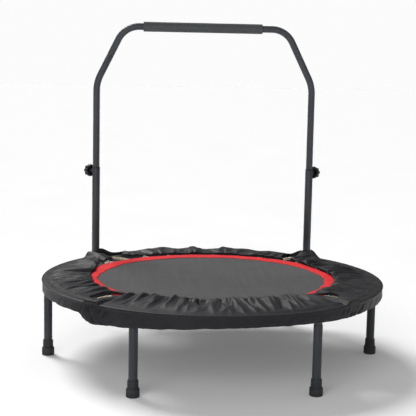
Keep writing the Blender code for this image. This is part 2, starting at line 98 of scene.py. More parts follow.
TUBE_WALL = 0.0012
ARC_GAP = 0.0008  # an arc stops this far short of its joint
CHAMFER = 0.0004
SPRINGS_PER_ARC = 8
SPRING_PITCH = 90 / SPRINGS_PER_ARC


# ---------------- geometry helpers
def radial(angle, radius, z=0.0):
    """A point at a radius; the angle runs from the front (0) to the right (90), in degrees."""
    a = math.radians(angle)
    return Vector((radius * math.sin(a), -radius * math.cos(a), z))


def along(start, direction):
    """Frame whose Z axis points along a direction."""
    turn = Vector((0, 0, 1)).rotation_difference(Vector(direction)).to_matrix().to_4x4()
    return Matrix.Translation(Vector(start)) @ turn


def bell(x, centre, width):
    """A smooth bump of height 1 about a centre, nothing beyond its width."""
    t = min(1.0, abs(x - centre) / width)
    return (1 - t * t) ** 2


def ease(x, low, high):
    """0 below low, 1 above high, and a smooth step between them."""
    t = min(1.0, max(0.0, (x - low) / (high - low)))
    return t * t * (3 - 2 * t)


def link(obj):
    bpy.context.scene.collection.objects.link(obj)
    return obj


def grid_faces(rows, columns, first=0):
    """The quads of a grid of vertices, stored row by row from the first one."""
    faces = []
    for j in range(rows):
        for i in range(columns):
            a = first + j * (columns + 1) + i
            faces.append((a, a + columns + 1, a + columns + 2, a + 1))
    return faces


def tube_faces(rings, sides, closed=False):
    """The quads between rings of vertices; closed joins the last ring to the first."""
    faces = []
    for i in range(rings if closed else rings - 1):
        here, there = i * sides, (i + 1) % rings * sides
        for k in range(sides):
            n = (k + 1) % sides
            faces.append((here + k, here + n, there + n, there + k))
    return faces


def mesh_object(name, verts, faces, material, uvs=None, smooth=True):
    mesh = bpy.data.meshes.new(name)
    mesh.from_pydata([tuple(v) for v in verts], [], faces)
    mesh.materials.append(material)
    if uvs is not None:
        layer = mesh.uv_layers.new(name="UVMap")
        for loop in mesh.loops:
            layer.data[loop.index].uv = uvs[loop.vertex_index]
    if smooth:
        mesh.shade_smooth()
    return link(bpy.data.objects.new(name, mesh))


def modified_mesh(obj):
    """Apply an object's modifiers to its mesh."""
    graph = bpy.context.evaluated_depsgraph_get()
    mesh = bpy.data.meshes.new_from_object(obj.evaluated_get(graph))
    obj.modifiers.clear()
    obj.data = mesh
    return obj


def sweep(points, radius, sides, closed=False):
    """Rings of vertices round a path, and the quads between them; radius may vary by point."""
    count = len(points)
    radii = radius if isinstance(radius, list) else [radius] * count
    verts, normal = [], None
    for i, point in enumerate(points):
        ahead = points[(i + 1) % count] if closed or i + 1 < count else point
        behind = points[i - 1] if closed or i > 0 else point
        tangent = (ahead - behind).normalized()
        if normal is None:
            normal = tangent.orthogonal().normalized()
        normal = (normal - tangent * normal.dot(tangent)).normalized()
        side = tangent.cross(normal)
        for k in range(sides):
            a = 2 * math.pi * k / sides
            verts.append(point + (normal * math.cos(a) + side * math.sin(a)) * radii[i])
    return verts, tube_faces(count, sides, closed)


def rod(name, points, radius, sides, material, hollow=0.0):
    """A round bar along a path; hollow gives it an open bore with that wall."""
    verts, faces = sweep(points, radius, sides)
    last = len(verts) - sides
    if hollow:
        inner_radius = [r - hollow for r in radius] if isinstance(radius, list) else radius - hollow
        inner, inner_faces = sweep(points, inner_radius, sides)
        shift = len(verts)
        faces += [tuple(shift + i for i in reversed(f)) for f in inner_faces]
        verts += inner
        for k in range(sides):
            n = (k + 1) % sides
            faces.append((n, k, shift + k, shift + n))
            faces.append((last + k, last + n, shift + last + n, shift + last + k))
    else:
        faces.append(tuple(reversed(range(sides))))
        faces.append(tuple(range(last, last + sides)))
    obj = mesh_object(name, verts, faces, material)
    obj.data.set_sharp_from_angle(angle=math.radians(50))
    return obj


def turned(name, profile, matrix, material, sides=48):
    """A turned piece from a profile of (radius, height) that runs down its outer side."""
    mesh = bpy.data.meshes.new(name)
    edges = [(i, i + 1) for i in range(len(profile) - 1)]
    if profile[0][0] > 0:
        edges.append((len(profile) - 1, 0))
    mesh.from_pydata([(r, 0, z) for r, z in profile], edges, [])
    obj = link(bpy.data.objects.new(name, mesh))
    screw = obj.modifiers.new("turn", "SCREW")
    screw.steps = screw.render_steps = sides
    screw.use_merge_vertices = True
    screw.merge_threshold = 0.00001
    modified_mesh(obj)
    obj.data.materials.append(material)
    obj.data.transform(matrix)
    obj.data.shade_smooth()
    obj.data.set_sharp_from_angle(angle=math.radians(35))
    return obj


def rounded_path(corners, radii, step_degrees=3.0):
    """A polyline through the corners, each inner corner rounded to its own radius."""
    points = [Vector(corners[0])]
    for i in range(1, len(corners) - 1):
        here = Vector(corners[i])
        back = (Vector(corners[i - 1]) - here).normalized()
        ahead = (Vector(corners[i + 1]) - here).normalized()
        turn = math.pi - back.angle(ahead)
        reach = radii[i - 1] * math.tan(turn / 2)
        centre = here + (back + ahead).normalized() * math.hypot(reach, radii[i - 1])
        first = here + back * reach - centre
        axis = (-back).cross(ahead).normalized()
        steps = max(2, round(math.degrees(turn) / step_degrees))
        for k in range(steps + 1):
            points.append(centre + Matrix.Rotation(turn * k / steps, 3, axis) @ first)
    points.append(Vector(corners[-1]))
    return points


def join(name, pieces):
    """Several meshes as one piece."""
    bm = bmesh.new()
    for piece in pieces:
        bm.from_mesh(piece.data)
    mesh = bpy.data.meshes.new(name)
    bm.to_mesh(mesh)
    bm.free()
    mesh.materials.append(pieces[0].data.materials[0])
    for piece in pieces:
        bpy.data.objects.remove(piece, do_unlink=True)
    return link(bpy.data.objects.new(name, mesh))


# ---------------- materials
class Surface:
    """A Principled material and short ways to wire its nodes."""

    def __init__(self, name, colour, roughness, metallic=0.0, specular=0.5):
        self.material = bpy.data.materials.new(name)
        self.material.use_nodes = True
        self.tree = self.material.node_tree
        self.shader = self.tree.nodes["Principled BSDF"]
        self.set("Base Color", (*colour, 1.0))
        self.set("Roughness", roughness)
        self.set("Metallic", metallic)
        self.set("Specular IOR Level", specular)
        self.relief = None

    def set(self, socket, value):
        self.shader.inputs[socket].default_value = value

    def node(self, kind, **values):
        node = self.tree.nodes.new(kind)
        for key, value in values.items():
            if key in node.inputs:
                node.inputs[key].default_value = value
            else:
                setattr(node, key, value)
        return node

    def link(self, source, target):
        self.tree.links.new(source, target)

    def coordinates(self, kind="Object"):
        return self.node("ShaderNodeTexCoord").outputs[kind]

    def noise(self, scale, detail=3.0, stretch=None):
        texture = self.node("ShaderNodeTexNoise", Scale=scale, Detail=detail)
        source = self.coordinates()
        if stretch:
            mapping = self.node("ShaderNodeMapping", Scale=stretch)
            self.link(source, mapping.inputs["Vector"])
            source = mapping.outputs["Vector"]
        self.link(source, texture.inputs["Vector"])
        return texture.outputs["Fac"]

    def ramp(self, source, *stops):
        """A colour ramp through (position, (r, g, b)) stops."""
        ramp = self.node("ShaderNodeValToRGB")
        elements = ramp.color_ramp.elements
        while len(elements) < len(stops):
            elements.new(0.5)
        for element, (position, colour) in zip(elements, stops):
            element.position = position
            element.color = (*colour, 1.0)
        self.link(source, ramp.inputs["Fac"])
        return ramp.outputs["Color"]

    def spread(self, source, low, high):
        """A factor between 0 and 1 as a value between low and high."""
        to_range = self.node("ShaderNodeMapRange")
        to_range.inputs["To Min"].default_value = low
        to_range.inputs["To Max"].default_value = high
        self.link(source, to_range.inputs["Value"])
        return to_range.outputs["Result"]

    def math(self, operation, a, b):
        node = self.node("ShaderNodeMath", operation=operation)
        for socket, value in zip(node.inputs, (a, b)):
            if isinstance(value, (int, float)):
                socket.default_value = value
            else:
                self.link(value, socket)
        return node.outputs["Value"]

    def colour(self, source):
        self.link(source, self.shader.inputs["Base Color"])

    def roughness(self, source, low, high):
        self.link(self.spread(source, low, high), self.shader.inputs["Roughness"])

    def bump(self, source, distance, strength=1.0):
        """Add a layer of relief; layers chain from one bump to the next."""
        bump = self.node("ShaderNodeBump", Strength=strength, Distance=distance)
        self.link(source, bump.inputs["Height"])
        if self.relief:
            self.link(self.relief, bump.inputs["Normal"])
        self.relief = bump.outputs["Normal"]
        self.link(self.relief, self.shader.inputs["Normal"])

    def weave(self, pitch_u, pitch_v):
        """Over-and-under threads along the cloth's own UV directions, in metres."""
        split = self.node("ShaderNodeSeparateXYZ")
        self.link(self.coordinates("UV"), split.inputs["Vector"])
        u = self.math("MULTIPLY", split.outputs["X"], math.pi / pitch_u)
        v = self.math("MULTIPLY", split.outputs["Y"], math.pi / pitch_v)
        return self.math("MULTIPLY", self.math("SINE", u, 0), self.math("SINE", v, 0))


def stitches(s, rows, pitch=0.0042):
    """Lines of thread along the cloth, at the given heights of its UV map, as relief and a paler tone."""
    split = s.node("ShaderNodeSeparateXYZ")
    s.link(s.coordinates("UV"), split.inputs["Vector"])
    phase = s.math("MULTIPLY", split.outputs["X"], 2 * math.pi / pitch)
    dash = s.math("GREATER_THAN", s.math("SINE", phase, 0), -0.4)
    total = 0.0
    for row in rows:
        away = s.math("ABSOLUTE", s.math("SUBTRACT", split.outputs["Y"], row), 0)
        total = s.math("ADD", total, s.math("LESS_THAN", away, 0.0005))
    return s.math("MULTIPLY", total, dash)


def tinted(s, colour, mask, tint):
    """A colour, mixed towards a tint where a mask is set."""
    mix = s.node("ShaderNodeMix", data_type="RGBA")
    s.link(mask, mix.inputs[0])
    s.link(colour, mix.inputs[6])
    mix.inputs[7].default_value = (*tint, 1.0)
    return mix.outputs[2]


def hard_surface(s, tone, rough, *relief):
    """Noise in the tone, roughness and relief of a surface; each starts with its noise's scale and detail."""
    s.colour(s.ramp(s.noise(*tone[:2]), *tone[2:]))
    s.roughness(s.noise(*rough[:2]), *rough[2:])
    for scale, detail, depth in relief:
        s.bump(s.noise(scale, detail), depth)
    return s.material


def powder_coat(name, dark, light):
    s = Surface(name, light, 0.42, specular=0.30)
    tone = (14, 4, (0.3, dark), (0.7, light))
    return hard_surface(s, tone, (60, 5, 0.36, 0.50), (1400, 2, 0.00004), (260, 3, 0.00005))


def plated(name, dark, light, rough):
    s = Surface(name, light, rough, metallic=1.0)
    tone = (90, 5, (0.3, dark), (0.65, light))
    return hard_surface(s, tone, (240, 4, rough - 0.08, rough + 0.14), (900, 3, 0.00003))


def moulded_rubber():
    s = Surface("moulded_rubber", (0.022, 0.023, 0.025), 0.72, specular=0.35)
    tone = (45, 5, (0.3, (0.024, 0.026, 0.029)), (0.75, (0.044, 0.046, 0.050)))
    return hard_surface(s, tone, (120, 4, 0.62, 0.85), (1100, 3, 0.00006))


def moulded_plastic():
    s = Surface("moulded_plastic", (0.008, 0.008, 0.009), 0.42, specular=0.4)
    tone = (70, 3, (0.3, (0.006, 0.006, 0.007)), (0.7, (0.011, 0.011, 0.012)))
    return hard_surface(s, tone, (300, 3, 0.36, 0.52), (2200, 2, 0.00004))


def grip_foam():
    s = Surface("grip_foam", (0.084, 0.088, 0.093), 0.62, specular=0.35)
    s.colour(s.ramp(s.noise(420, 4), (0.25, (0.060, 0.066, 0.071)), (0.75, (0.084, 0.090, 0.095))))
    cells = s.node("ShaderNodeTexVoronoi", Scale=1300)
    s.link(s.coordinates(), cells.inputs["Vector"])
    s.bump(cells.outputs["Distance"], 0.00012)
    s.bump(s.noise(35, 3), 0.0004)
    return s.material


def cover_cloth():
    """Coated polyester, stitched along its seams."""
    s = Surface("cover_cloth", (0.013, 0.013, 0.015), 0.46, specular=0.22)
    beside_piping, hem, skirt_top, skirt_hem = 0.0040, 0.1330, -0.0040, -0.0400
    thread = stitches(s, (beside_piping, hem, skirt_top, skirt_hem))
    tone = s.ramp(s.noise(9, 5), (0.25, (0.0090, 0.0095, 0.0115)), (0.75, (0.0150, 0.0152, 0.0180)))
    s.colour(tinted(s, tone, thread, (0.034, 0.034, 0.037)))
    s.bump(thread, 0.0004)
    s.roughness(s.noise(35, 4), 0.38, 0.54)
    s.set("Sheen Weight", 0.02)
    s.set("Sheen Roughness", 0.40)
    s.bump(s.weave(0.00045, 0.00045), 0.00005)
    s.bump(s.noise(55, 5), 0.0007, 0.6)
    s.bump(s.noise(190, 4), 0.00025, 0.6)
    return s.material


def mat_cloth():
    """Woven polypropylene, faintly streaked along its threads."""
    s = Surface("mat_cloth", (0.100, 0.100, 0.101), 0.78, specular=0.12)
    threads = s.weave(0.0011, 0.0011)
    streaks = s.math("ADD", s.noise(5, 3, stretch=(1.0, 14.0, 1.0)), s.noise(5, 3, stretch=(14.0, 1.0, 1.0)))
    tone = s.math("ADD", s.math("MULTIPLY", threads, 0.20), s.math("MULTIPLY", streaks, 0.5))
    s.colour(s.ramp(tone, (0.25, (0.090, 0.090, 0.091)), (0.80, (0.124, 0.124, 0.125))))
    s.roughness(s.noise(24, 3), 0.66, 0.80)
    s.bump(threads, 0.00012)
    s.bump(s.noise(28, 3), 0.0004, 0.5)
    return s.material


def band_cloth():
    s = Surface("band_cloth", (0.74, 0.028, 0.036), 0.70, specular=0.12)
    s.colour(s.ramp(s.noise(40, 4), (0.25, (0.76, 0.018, 0.026)), (0.75, (0.92, 0.038, 0.046))))
    s.roughness(s.noise(60, 3), 0.55, 0.72)
    s.set("Sheen Weight", 0.02)
    s.bump(s.weave(0.0007, 0.0012), 0.00012)
    s.bump(s.noise(120, 3), 0.0003, 0.5)
    return s.material


POWDER = powder_coat("powder_coat", (0.048, 0.053, 0.061), (0.063, 0.069, 0.078))
# The legs have the frame's own powder coat; this darker copy of it is painted shade on the legs.
SHADED_LEG_POWDER = powder_coat("powder_coat_legs_painted_shade", (0.029, 0.033, 0.039), (0.040, 0.045, 0.052))
ZINC = plated("yellow_zinc", (0.46, 0.38, 0.24), (0.80, 0.71, 0.52), 0.30)
STEEL = plated("bright_zinc", (0.48, 0.49, 0.51), (0.74, 0.75, 0.77), 0.28)
RUBBER = moulded_rubber()
PLASTIC = moulded_plastic()
FOAM = grip_foam()
COVER = cover_cloth()
MAT = mat_cloth()
BAND = band_cloth()


def place(piece, body, *nodes):
    """A finished piece: its body, and the nodes it stands for."""
    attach(piece, body)
    if nodes:
        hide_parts(*nodes)
    return piece


def repaint(material, *nodes):
    """Give CAD nodes that stay as they are a detailed material."""
    for name in nodes:
        mesh = frame["nodes"][name].data
        mesh.materials.clear()
        mesh.materials.append(material)


# ---------------- ring and legs
def make_ring():
    """Four arcs of bent tube with a welded boss over each leg."""
    trim = math.degrees(ARC_GAP / RING_R)
    steps = 90
    for arc, start in ARCS.items():
        span = 90 - 2 * trim
        points = [radial(start + trim + span * i / steps, RING_R, RING_Z) for i in range(steps + 1)]
        pieces = [rod("tube", points, TUBE_R, 32, POWDER, hollow=TUBE_WALL)]
        for leg, angle in LEGS.items():
            if not start < angle < start + 90:
                continue
            top, low = RING_Z - TUBE_R + 0.0035, leg_high.z - 0.016
            profile = [(0.0112, top), (0.0128, top - 0.0030), (0.0114, top - 0.0048), (0.0110, top - 0.0060),
                       (0.0110, low + 0.0008), (0.0102, low), (0.0056, low), (0.0056, top)]
            pieces.append(turned("boss", profile, Matrix.Translation(radial(angle, RING_R)), POWDER))
        place(join(f"ring_{arc}", pieces), ARC_BODY[arc], f"ring_arc_{arc}")


def make_legs():
    """A tube with a closed, threaded top and an open lower end, in a rubber foot."""
    for leg, angle in LEGS.items():
        at = Matrix.Translation(radial(angle, RING_R))
        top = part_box("ring_arc_front")[0].z - 0.0003
        r, stud, bottom, lid = TUBE_R, 0.0050, 0.0083, 0.006
        leg_profile = [(0, leg_high.z), (stud - 0.0008, leg_high.z), (stud, leg_high.z - 0.0008), (stud, top),
                       (r - 0.0010, top), (r - 0.0003, top - 0.0003), (r, top - 0.0010), (r, bottom),
                       (r - TUBE_WALL, bottom), (r - TUBE_WALL, top - lid), (0, top - lid)]
        place(turned(f"leg_tube_{leg}", leg_profile, at, SHADED_LEG_POWDER), LEG_BODY[leg], f"leg_{leg}")
        place(turned(f"rubber_foot_{leg}", foot_profile(), at, RUBBER), LEG_BODY[leg], f"foot_{leg}")


def foot_profile():
    """A socket, a slightly tapered collar, a round shoulder and a wider base with a grip ridge."""
    base, collar, step = FOOT_R, 0.0150, FOOT_TOP / 2
    bore = TUBE_R + 0.0002
    outside = [(bore, FOOT_TOP - 0.0010), (bore + 0.0006, FOOT_TOP), (collar - 0.0009, FOOT_TOP),
               (collar - 0.0003, FOOT_TOP - 0.0007), (collar, FOOT_TOP - 0.002),
               (collar + 0.0003, step + 0.0022), (collar + 0.0008, step + 0.0009),
               (base - 0.0016, step + 0.0002), (base - 0.0004, step - 0.0008), (base, step - 0.0024),
               (base, 0.0072), (base - 0.0006, 0.0066), (base - 0.0006, 0.0058),
               (base, 0.0052), (base, 0.0022), (base - 0.0005, 0.0008), (base - 0.0018, 0.0), (0.0, 0.0)]
    return [(0, 0.0080), (bore, 0.0080)] + outside


def keep_hardware():
    """The metal and plastic fittings keep their CAD shapes."""
    for arc in ARCS:
        repaint(ZINC, f"hinge_clevis_{arc}", f"hinge_tongue_{arc}", f"hinge_pin_{arc}")
    for side in ("left", "right"):
        repaint(STEEL, f"saddle_bolt_{side}", f"knob_bolt_{side}")
        repaint(PLASTIC, f"post_saddle_{side}", f"guide_bushing_{side}")


# ---------------- handle
def on_slant(z, side):
    """The point at a height on the line through the handle's bends."""
    part = (z - BEND_Z) / (BAR_Z - BEND_Z)
    return Vector((side * (POST_X + (BAR_HALF - POST_X) * part), POST_Y, z))


def make_handle():
    """Two sliding uprights with the lower bends, and the top tube that plugs into them."""
    lip, shoulder, plug, plug_r = 0.0007, 0.0001, 0.030, 0.0094
    for side, label in ((-1, "left"), (1, "right")):
        corners = [(side * POST_X, POST_Y, UPRIGHT_BOTTOM), (side * POST_X, POST_Y, BEND_Z),
                   on_slant(SEAM_Z, side)]
        path = rounded_path(corners, (LOWER_BEND_R,))
        last = (path[-1] - path[-2]).normalized()
        path = path[:-1] + [path[-1] - last * lip, path[-1]]
        radii = [UPRIGHT_R] * (len(path) - 1) + [UPRIGHT_R - CHAMFER]
        tube = rod(f"upright_tube_{label}", path, radii, 40, POWDER, hollow=TUBE_WALL)
        place(tube, "handle", f"handle_upright_{label}")
        make_post(side, label)
        make_knob(side, label)
    seam_right = on_slant(SEAM_Z + 0.0006, 1)
    seam_left = on_slant(SEAM_Z + 0.0006, -1)
    corners = [seam_right, (BAR_HALF, POST_Y, BAR_Z), (-BAR_HALF, POST_Y, BAR_Z), seam_left]
    path = rounded_path(corners, (UPPER_BEND_R, UPPER_BEND_R))
    first = (path[1] - path[0]).normalized()
    last = (path[-1] - path[-2]).normalized()
    path = ([path[0] - first * plug, path[0], path[0] + first * shoulder, path[0] + first * lip] + path[1:-1]
            + [path[-1] - last * lip, path[-1] - last * shoulder, path[-1], path[-1] + last * plug])
    ends = [plug_r, plug_r, UPRIGHT_R - CHAMFER, UPRIGHT_R]
    radii = ends + [UPRIGHT_R] * (len(path) - 2 * len(ends)) + ends[::-1]
    place(rod("top_tube", path, radii, 40, POWDER, hollow=TUBE_WALL), "handle", "handle_top")
    make_grip()


def make_grip():
    """A foam sleeve with soft, slightly uneven ends and skin."""
    length, r, bore = grip_high.x - grip_low.x, GRIP_R, UPRIGHT_R + 0.0002
    rows, sides = 120, 56
    end = [(bore, 0.0), (bore + 0.0008, 0.0), (r - 0.0016, 0.0), (r - 0.0006, 0.0005), (r - 0.0001, 0.0016)]
    stations = [(x, rad) for rad, x in end]
    stations += [(0.003 + (length - 0.006) * i / rows, r) for i in range(rows + 1)]
    stations += [(length - x, rad) for rad, x in reversed(end)]
    verts, faces = [], []
    for x, rad in stations:
        for k in range(sides):
            a = 2 * math.pi * k / sides
            swell = 0.0
            if rad > bore + 0.001:
                swell = 0.00035 * noise.noise(Vector((x * 18, 3 * math.cos(a), 3 * math.sin(a))))
            skin = rad + swell
            verts.append((grip_low.x + x, POST_Y + skin * math.cos(a), BAR_Z + skin * math.sin(a)))
    count = len(stations)
    for i in range(count):
        here, there = i * sides, (i + 1) % count * sides
        for k in range(sides):
            n = (k + 1) % sides
            faces.append((here + k, there + k, there + n, here + n))
    grip = mesh_object("foam_grip", verts, faces, FOAM)
    grip.data.set_sharp_from_angle(angle=math.radians(60))
    place(grip, "handle", "handle_grip")


def outward(side):
    """The way a post's knob points: straight out from the middle of the ring."""
    return radial(side * POST_ANGLE, 1.0)


def make_post(side, label):
    """The lower tube with its pressed rim, and the nut welded on for the clamp knob."""
    foot = Vector((side * POST_X, POST_Y, POST_BOTTOM))
    top = Vector((side * POST_X, POST_Y, POST_TOP))
    up = Vector((0, 0, 1))
    path = [foot, foot + up * 0.0005, top - up * 0.0006, top]
    radii = [POST_R - CHAMFER, POST_R, POST_R, POST_R - CHAMFER]
    tube = rod("tube", path, radii, 40, POWDER, hollow=TUBE_WALL)
    profile = [(0.0046, 0.0190), (0.0064, 0.0190), (0.0074, 0.0180), (0.0075, 0.0150), (0.0078, 0.0138),
               (0.0090, 0.0118), (0.0094, 0.0100), (0.0046, 0.0100)]
    boss = turned("boss", profile, along((side * POST_X, POST_Y, KNOB_Z), outward(side)), POWDER)
    place(join(f"post_tube_{label}", [tube, boss]), "rear_frame", f"handle_post_{label}")


def make_knob(side, label):
    """A lobed clamp knob: domed outer face, hollow back with ribs, and a hub round the bolt."""
    near, far, hub_depth = 0.0235, 0.0410, 0.0345  # along the bolt, from the post's middle
    sides, lobes = 96, 8
    rim, lobe, bore = 0.0192, 0.0013, 0.0046

    def ring(radius, z, wave):
        out = []
        for k in range(sides):
            a = 2 * math.pi * k / sides
            r = radius + wave * math.cos(lobes * a)
            out.append((r * math.cos(a), r * math.sin(a), z))
        return out

    stations = [(bore, hub_depth, 0), (bore, near + 0.0022, 0), (0.0052, near + 0.0015, 0),
                (0.0064, near + 0.0015, 0), (0.0070, near + 0.0024, 0), (0.0072, hub_depth, 0),
                (0.0155, hub_depth, 0.0005), (0.0160, near + 0.001, 0.0009), (0.0164, near, lobe),
                (rim - 0.0010, near, lobe), (rim - 0.0002, near + 0.0010, lobe), (rim, near + 0.004, lobe),
                (rim, far - 0.0045, lobe), (rim - 0.0006, far - 0.0026, lobe),
                (rim - 0.0026, far - 0.0008, lobe * 0.8), (rim - 0.0052, far, lobe * 0.5),
                (0.0100, far - 0.0002, 0), (0.0092, far - 0.0010, 0), (0.0050, far - 0.0012, 0),
                (0.0015, far - 0.0012, 0)]
    verts = [vert for r, z, wave in stations for vert in ring(r, z, wave)]
    faces = tube_faces(len(stations), sides)
    faces.append(tuple(range(len(verts) - sides, len(verts))))
    faces.append(tuple(reversed(range(sides))))
    knob = mesh_object(f"knob_{label}", verts, faces, PLASTIC)
    knob.data.transform(along((side * POST_X, POST_Y, KNOB_Z), outward(side)))
    knob.data.set_sharp_from_angle(angle=math.radians(42))
    place(knob, f"knob_{label}", f"clamp_knob_{label}")


# ---------------- jumping mat
MAT_Z = FOLD_Z - 0.0020
BAND_IN, BAND_OUT = 0.3385, 0.3890
WEB_IN, WEB_OUT = 0.3700, 0.3975
SCALLOP = 0.0016
HALVES = {"front": (-45, "mat_half_front"), "rear": (135, "mat_half_rear")}


def mat_height(x, y):
    """The mat is taut, with a trace of a dish and of the ripples of its weave."""
    r = math.hypot(x, y)
    dish = -0.0012 * (1 - (r / BAND_OUT) ** 2)
    return dish + 0.00025 * noise.noise(Vector((x * 7, y * 7, 1.7)))


def scallop(angle, depth):
    """The mat's edge runs out to each spring ring, and in between them."""
    return depth * math.cos(math.radians(4 * SPRINGS_PER_ARC * (angle - SPRING_PITCH / 2 - 45)))


def make_mat():
    """The woven mat in two halves that meet at the fold line, each one a thin sheet with a hem."""
    rings, steps = 40, 180
    for half, (start, body) in HALVES.items():
        verts, uvs = [], []
        for j in range(rings + 1):
            for i in range(steps + 1):
                angle = start + 180 * i / steps
                edge = BAND_OUT - 0.0015 + scallop(angle, SCALLOP)
                spot = radial(angle, edge * (j + 0.02) / (rings + 0.02))
                verts.append((spot.x, spot.y, MAT_Z + mat_height(spot.x, spot.y)))
                uvs.append((spot.x, spot.y))
        faces = grid_faces(rings, steps)
        centre = len(verts)
        verts.append((0, 0, MAT_Z + mat_height(0, 0)))
        uvs.append((0.0, 0.0))
        faces += [(centre, i, i + 1) for i in range(steps)]
        mat = mesh_object(f"mat_sheet_{half}", verts, faces, MAT, uvs)
        thicken(mat, 0.0010)
        place(mat, body, f"mat_{half}")


def thicken(obj, thickness):
    """Give a sheet its thickness, below the surface it was drawn as."""
    solid = obj.modifiers.new("thickness", "SOLIDIFY")
    solid.thickness = thickness
    solid.offset = -1.0
    return modified_mesh(obj)


def make_band():
    """The red edge band, sewn over the mat's edge; it puckers, so its inner edge wanders."""
    rows, steps = 10, 360
    for half, (start, body) in HALVES.items():
        verts, uvs = [], []
        for j in range(rows + 1):
            t = j / rows
            for i in range(steps + 1):
                angle = start + 180 * i / steps
                turn = radial(angle, 1.0)
                wander = noise.noise(Vector((turn.x * 9, turn.y * 9, 0.3)))
                fine = noise.noise(Vector((turn.x * 26, turn.y * 26, 4.1)))
                inner = BAND_IN + 0.0070 * wander + 0.0035 * fine + 0.009 * facing(angle, -72, 45)
                outer = BAND_OUT + scallop(angle, SCALLOP)
                r = inner + (outer - inner) * t
                pucker = (0.0009 + 0.0014 * wander + 0.0010 * fine) * math.sin(math.pi * t) + 0.0003 * (1 - t)
                spot = radial(angle, r)
                z = MAT_Z + mat_height(spot.x, spot.y) + 0.0007 + max(pucker, 0.0)
                verts.append((spot.x, spot.y, z))
                uvs.append((math.radians(angle) * BAND_OUT, r))
        band = mesh_object(f"edge_band_{half}", verts, grid_faces(rows, steps), BAND, uvs)
        thicken(band, 0.0006)
        place(band, body, f"mat_band_{half}")


def make_webbing():
    """The black webbing under the mat's edge, which the spring rings are sewn into."""
    steps = 270
    for half, (start, body) in HALVES.items():
        verts, uvs = [], []
        for j, r in enumerate((WEB_IN, (WEB_IN + WEB_OUT) / 2, WEB_OUT)):
            for i in range(steps + 1):
                angle = start + 180 * i / steps
                wave = scallop(angle, SCALLOP / 2) * (j == 2)
                verts.append(radial(angle, r + wave, MAT_Z - 0.0011))
                uvs.append((math.radians(angle) * BAND_OUT, 0.5 + r))
        webbing = mesh_object(f"mat_webbing_{half}", verts, grid_faces(2, steps), COVER, uvs)
        thicken(webbing, 0.0012)
        place(webbing, body)


# ---------------- springs
COIL_R, WIRE_R = 0.0034, 0.0007
COIL_IN, COIL_OUT = 0.4085, 0.4700
HOOK_IN, HOOK_OUT = 0.4040, 0.4850


def spring_height(r):
    """The springs run slightly down from the mat's edge to the ring."""
    return MAT_Z - 0.0004 - 0.0070 * (r - BAND_OUT) / (HOOK_OUT - BAND_OUT)


def spring_path():
    """A hook, the coil and the other hook, in a frame of (across, outward, up)."""
    turns, per_turn, hook = 28, 9, 0.0022
    points = []
    for k in range(9):
        a = math.pi * (1.15 - 1.15 * k / 8)
        points.append((hook * math.sin(a), HOOK_IN + hook - hook * math.cos(math.pi - a), 0.0))
    points.append((0.0, COIL_IN - 0.0016, 0.0))
    for k in range(turns * per_turn + 1):
        a = 2 * math.pi * k / per_turn
        grow = min(1.0, k / 5, (turns * per_turn - k) / 5)
        r = COIL_R * max(grow, 0.15)
        along_axis = COIL_IN + (COIL_OUT - COIL_IN) * k / (turns * per_turn)
        points.append((r * math.cos(a), along_axis, r * math.sin(a)))
    return points + [(0.0, COIL_OUT + 0.0020, 0.0), (0.0, HOOK_OUT - 0.0030, 0.0004),
                     (0.0, HOOK_OUT + 0.0004, 0.0), (0.0, HOOK_OUT + 0.0020, -hook)]


def make_springs():
    """Thirty-two coil springs, each with its hooks, stretched from the mat's rings to the tube ring."""
    local, sides = spring_path(), 5
    for arc, start in ARCS.items():
        loops = []
        for k in range(SPRINGS_PER_ARC):
            angle = start + SPRING_PITCH * (k + 0.5)
            out = radial(angle, 1.0)
            across = Vector((0, 0, 1)).cross(out)
            points = [out * r + across * x + Vector((0, 0, spring_height(r) + z)) for x, r, z in local]
            verts, faces = sweep(points, WIRE_R, sides)
            faces += [tuple(reversed(range(sides))), tuple(range(len(verts) - sides, len(verts)))]
            spring = mesh_object(f"spring_{arc}_{k + 1}", verts, faces, ZINC)
            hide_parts(f"springs_{arc}")
            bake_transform(spring)
            loops.append(mat_ring(out, across))
        place(join(f"mat_rings_{arc}", loops), ARC_MAT[arc])


def mat_ring(out, across):
    """A triangular wire ring, sewn into the mat's edge, that a spring hooks on."""
    base, tip, half, wire, corner_r = BAND_OUT - 0.0040, HOOK_IN + 0.0012, 0.0085, 0.0010, 0.0018
    corners = [out * base + across * half, out * tip, out * base - across * half]
    points = []
    for i, corner in enumerate(corners):
        for nearby in (corners[i - 1], corners[(i + 1) % 3]):
            points.append(corner + (nearby - corner).normalized() * corner_r)
    lift = Vector((0, 0, MAT_Z - 0.0006))
    verts, faces = sweep([p + lift for p in points], wire, 8, closed=True)
    return mesh_object("mat_ring", verts, faces, STEEL)


# ---------------- spring cover
HEM_R, HINGE_OUT = 0.3680, 0.5105
EDGE_Z = COVER_TOP - 0.0020
COLUMNS_PER_DEGREE = 3
ROWS = 26
LIP_ROWS = 3
LIP, SLIT_LIP = 0.0085, 0.0150
REAR_NARROWER = 0.0220  # the rear half is cut narrower: its hem lies further out
PINCH_STEP = 8.0  # degrees between the pockets under the hem
BUCKLE_FRAMES, BUCKLE_GROWTH, BUCKLE_LIMIT = 20, 0.18, 0.009


def turn_between(angle, centre):
    """The signed turn in degrees from a centre to an angle."""
    return (angle - centre + 180) % 360 - 180


def facing(angle, centre, width):
    """1 where the ring faces an angle, falling smoothly to 0 at a width either side."""
    return bell(turn_between(angle, centre), 0.0, width)


def rough(angle, scale, seed, drift=0.0):
    """Smooth noise round the ring."""
    a = math.radians(angle)
    return noise.noise(Vector((math.cos(a) * scale, math.sin(a) * scale, seed + drift)))


def near_hinge(angle):
    """1 over a hinge, 0 a few degrees away from every one."""
    away = min(abs(turn_between(angle, joint)) for joint in ARCS.values())
    return 1 - ease(away, 1.9, 3.6 + 3.6 * facing(angle, 0, 80))


